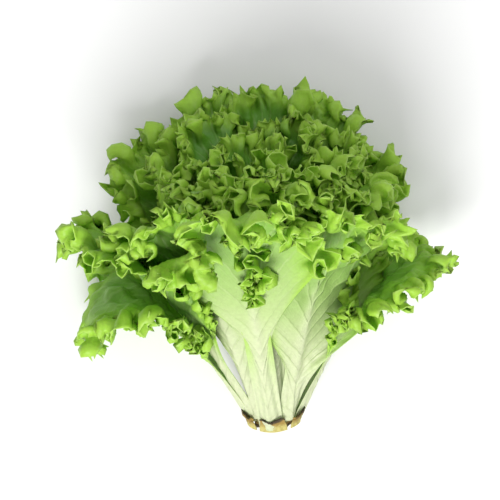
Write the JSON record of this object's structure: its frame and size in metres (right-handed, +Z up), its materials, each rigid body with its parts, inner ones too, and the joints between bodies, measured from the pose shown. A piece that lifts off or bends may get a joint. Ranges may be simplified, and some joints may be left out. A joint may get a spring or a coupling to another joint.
{
  "type": "green leaf lettuce",
  "caption": "Cut head of frilled green leaf lettuce lying on its side, with separate leaves springing from a short pale stem.",
  "frame": {"origin": "on the surface that the head rests on, under the middle of its bounding box", "axes": "+Z up from the resting surface, +Y from the cut stem towards the frilled crown, +X to the right seen from above with the crown up"},
  "size_m": [0.2536, 0.2346, 0.1885],
  "materials": {
    "leaf": "fresh waxy leaf, green frills over pale ribs",
    "heart": "young yellow-green leaf",
    "stem": "pale fleshy stem with a browned cut",
    "stub": "trimmed leaf base, dried brown at its edge"
  },
  "bodies": {
    "root": {"stem": "stem", "leaf_01": "leaf", "leaf_02": "leaf", "leaf_03": "leaf", "leaf_04": "leaf", "leaf_05": "leaf", "leaf_06": "leaf", "leaf_07": "leaf", "leaf_08": "leaf", "leaf_09": "leaf", "leaf_10": "leaf", "leaf_11": "leaf", "leaf_12": "leaf", "leaf_13": "leaf", "leaf_14": "leaf", "leaf_15": "leaf", "leaf_16": "leaf", "leaf_17": "leaf", "leaf_18": "leaf", "leaf_19": "leaf", "leaf_20": "leaf", "leaf_21": "leaf", "leaf_22": "leaf", "leaf_23": "leaf", "leaf_24": "leaf", "heart_leaf_1": "heart", "heart_leaf_2": "heart", "heart_leaf_3": "heart", "heart_leaf_4": "heart", "leaf_stub_1": "stub", "leaf_stub_2": "stub", "leaf_stub_3": "stub"}
  },
  "joints": []
}
